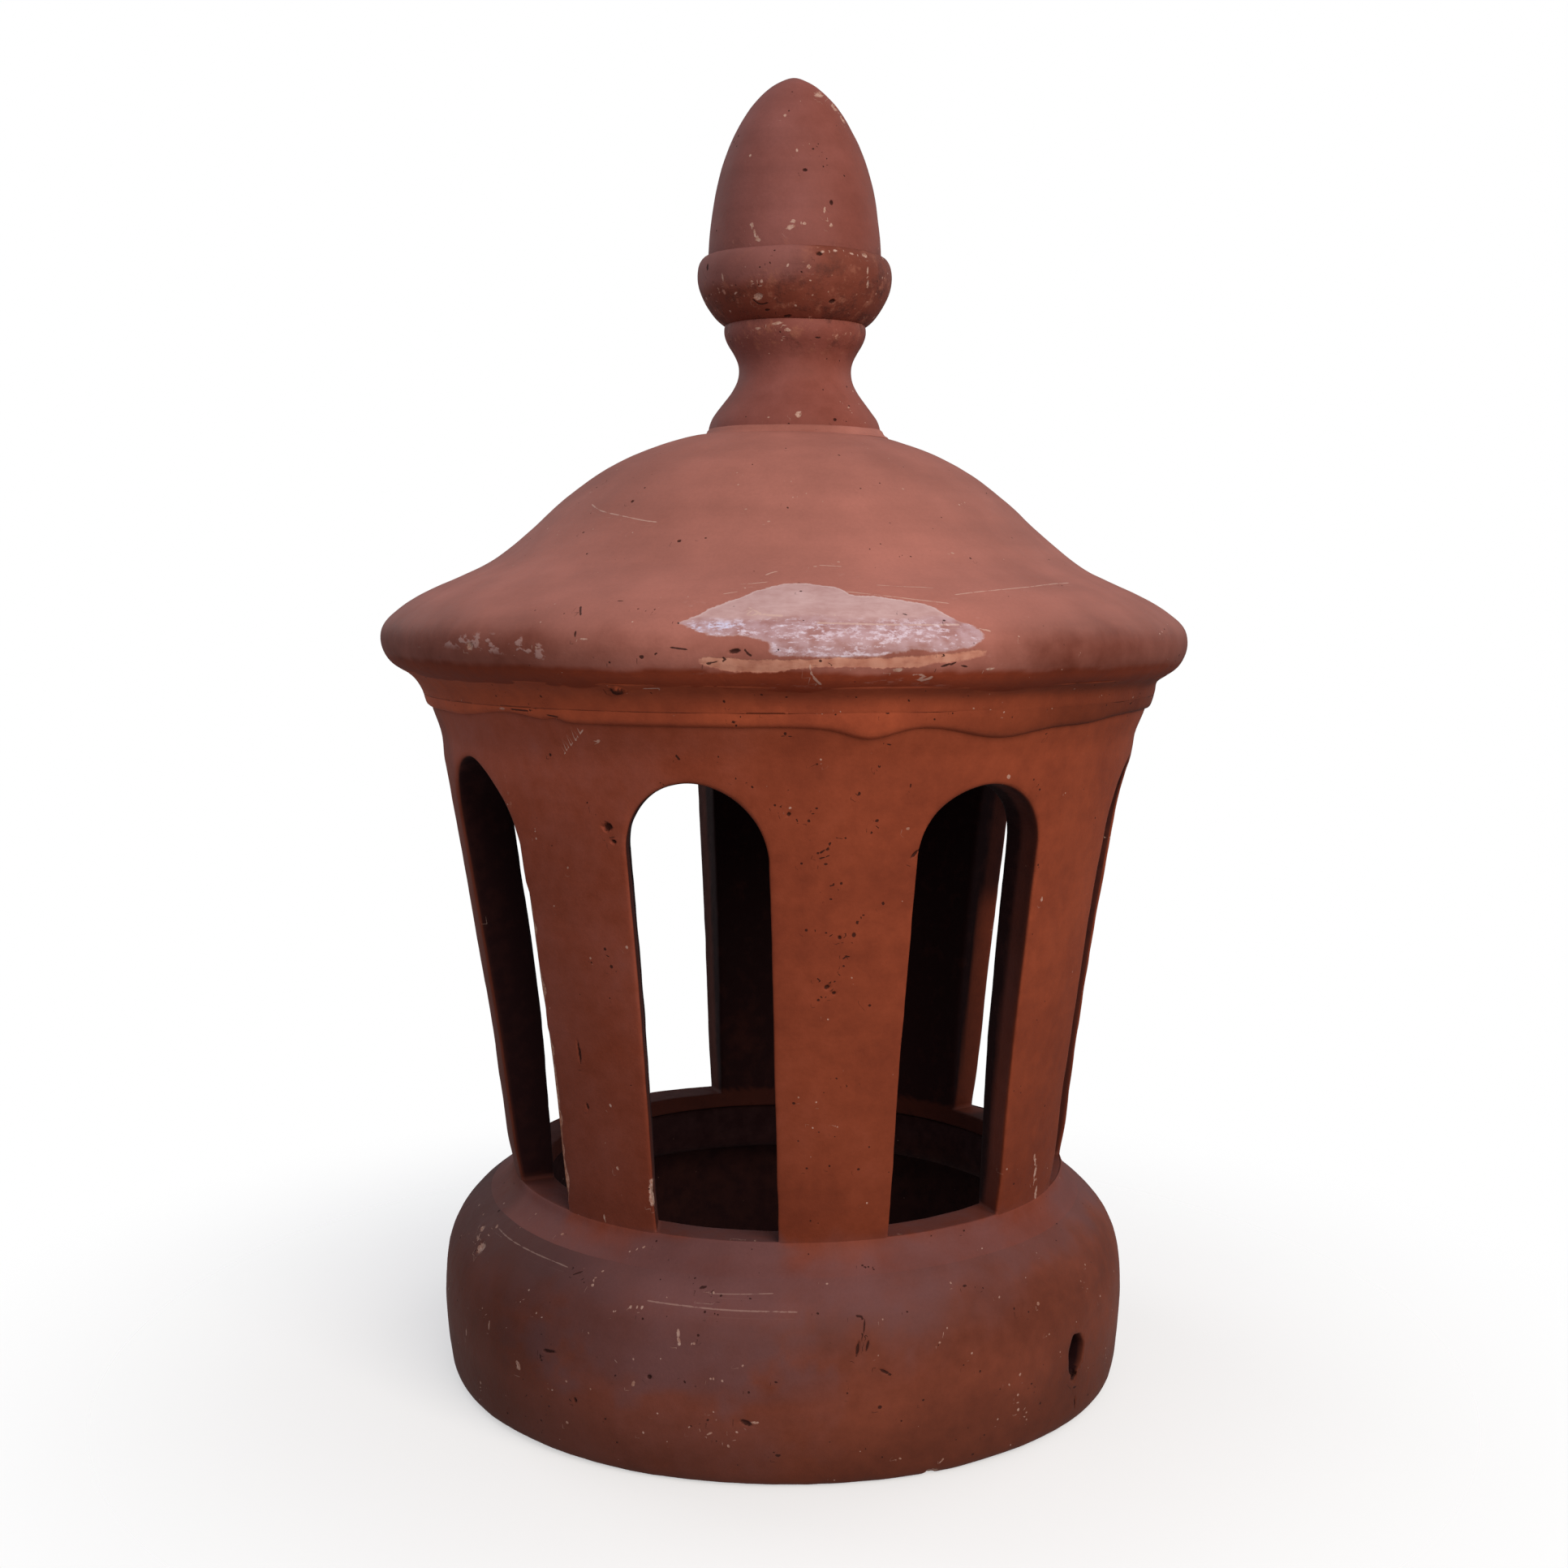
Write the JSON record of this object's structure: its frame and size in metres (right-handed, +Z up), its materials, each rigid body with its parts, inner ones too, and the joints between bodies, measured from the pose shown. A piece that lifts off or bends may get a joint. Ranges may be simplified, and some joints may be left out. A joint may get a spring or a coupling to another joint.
{
  "type": "terracotta chimney cap",
  "caption": "Hollow terracotta chimney cap: a socket ring, a flaring drum with arched smoke openings, an ogee roof and an acorn finial.",
  "frame": {"origin": "centre of the base ring's bottom face", "axes": "+Z up along the axis of the drum, -Y towards the front, +X to the front's right"},
  "size_m": [0.3731, 0.3732, 0.6],
  "materials": {
    "base_clay": "matte, weathered unglazed earthenware",
    "drum_clay": "matte unglazed earthenware",
    "roof_clay": "satin, worn smooth with a scuffed patch on the rim",
    "finial_clay": "satin unglazed earthenware",
    "cup_clay": "matte earthenware with dark lichen crust"
  },
  "bodies": {
    "root": {"base_ring": "base_clay", "foot_lute": "drum_clay", "drum": "drum_clay", "cornice_band": "drum_clay", "rim_lute": "drum_clay", "roof": "roof_clay", "finial_lute": "roof_clay", "finial_stem": "finial_clay", "acorn_cup": "cup_clay", "acorn": "finial_clay"}
  },
  "joints": []
}
